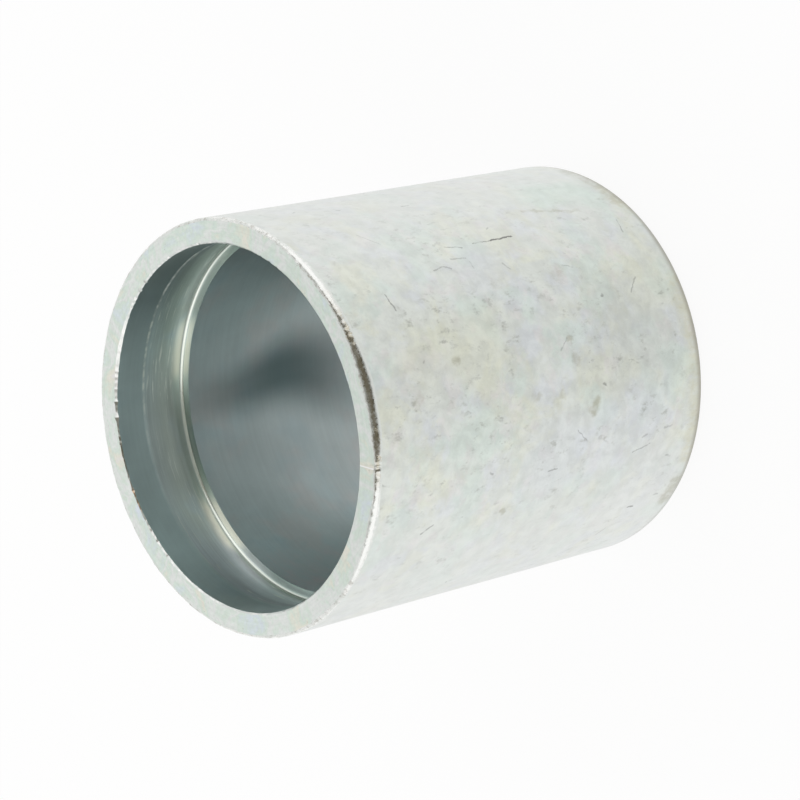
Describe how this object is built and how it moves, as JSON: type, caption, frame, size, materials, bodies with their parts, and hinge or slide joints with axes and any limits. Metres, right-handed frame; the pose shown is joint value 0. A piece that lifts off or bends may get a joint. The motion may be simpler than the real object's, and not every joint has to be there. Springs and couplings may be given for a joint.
{
  "type": "crimp hose ferrule",
  "caption": "Turned steel crimp ferrule for hydraulic hose: plain zinc-plated sleeve with an open mouth, an inner saw-tooth grip groove and an inward lip that locks on the fitting.",
  "frame": {"origin": "centre of the lip end, on the face that it stands on", "axes": "+Z along the axis, from the lip end to the mouth"},
  "size_m": [0.028, 0.028, 0.0307],
  "materials": {
    "zinc_plate": "bright zinc plate with a pale blue-white passivated film, turning marks in the bore and light handling scratches"
  },
  "bodies": {
    "root": {"ferrule_sleeve": "zinc_plate"}
  },
  "joints": []
}
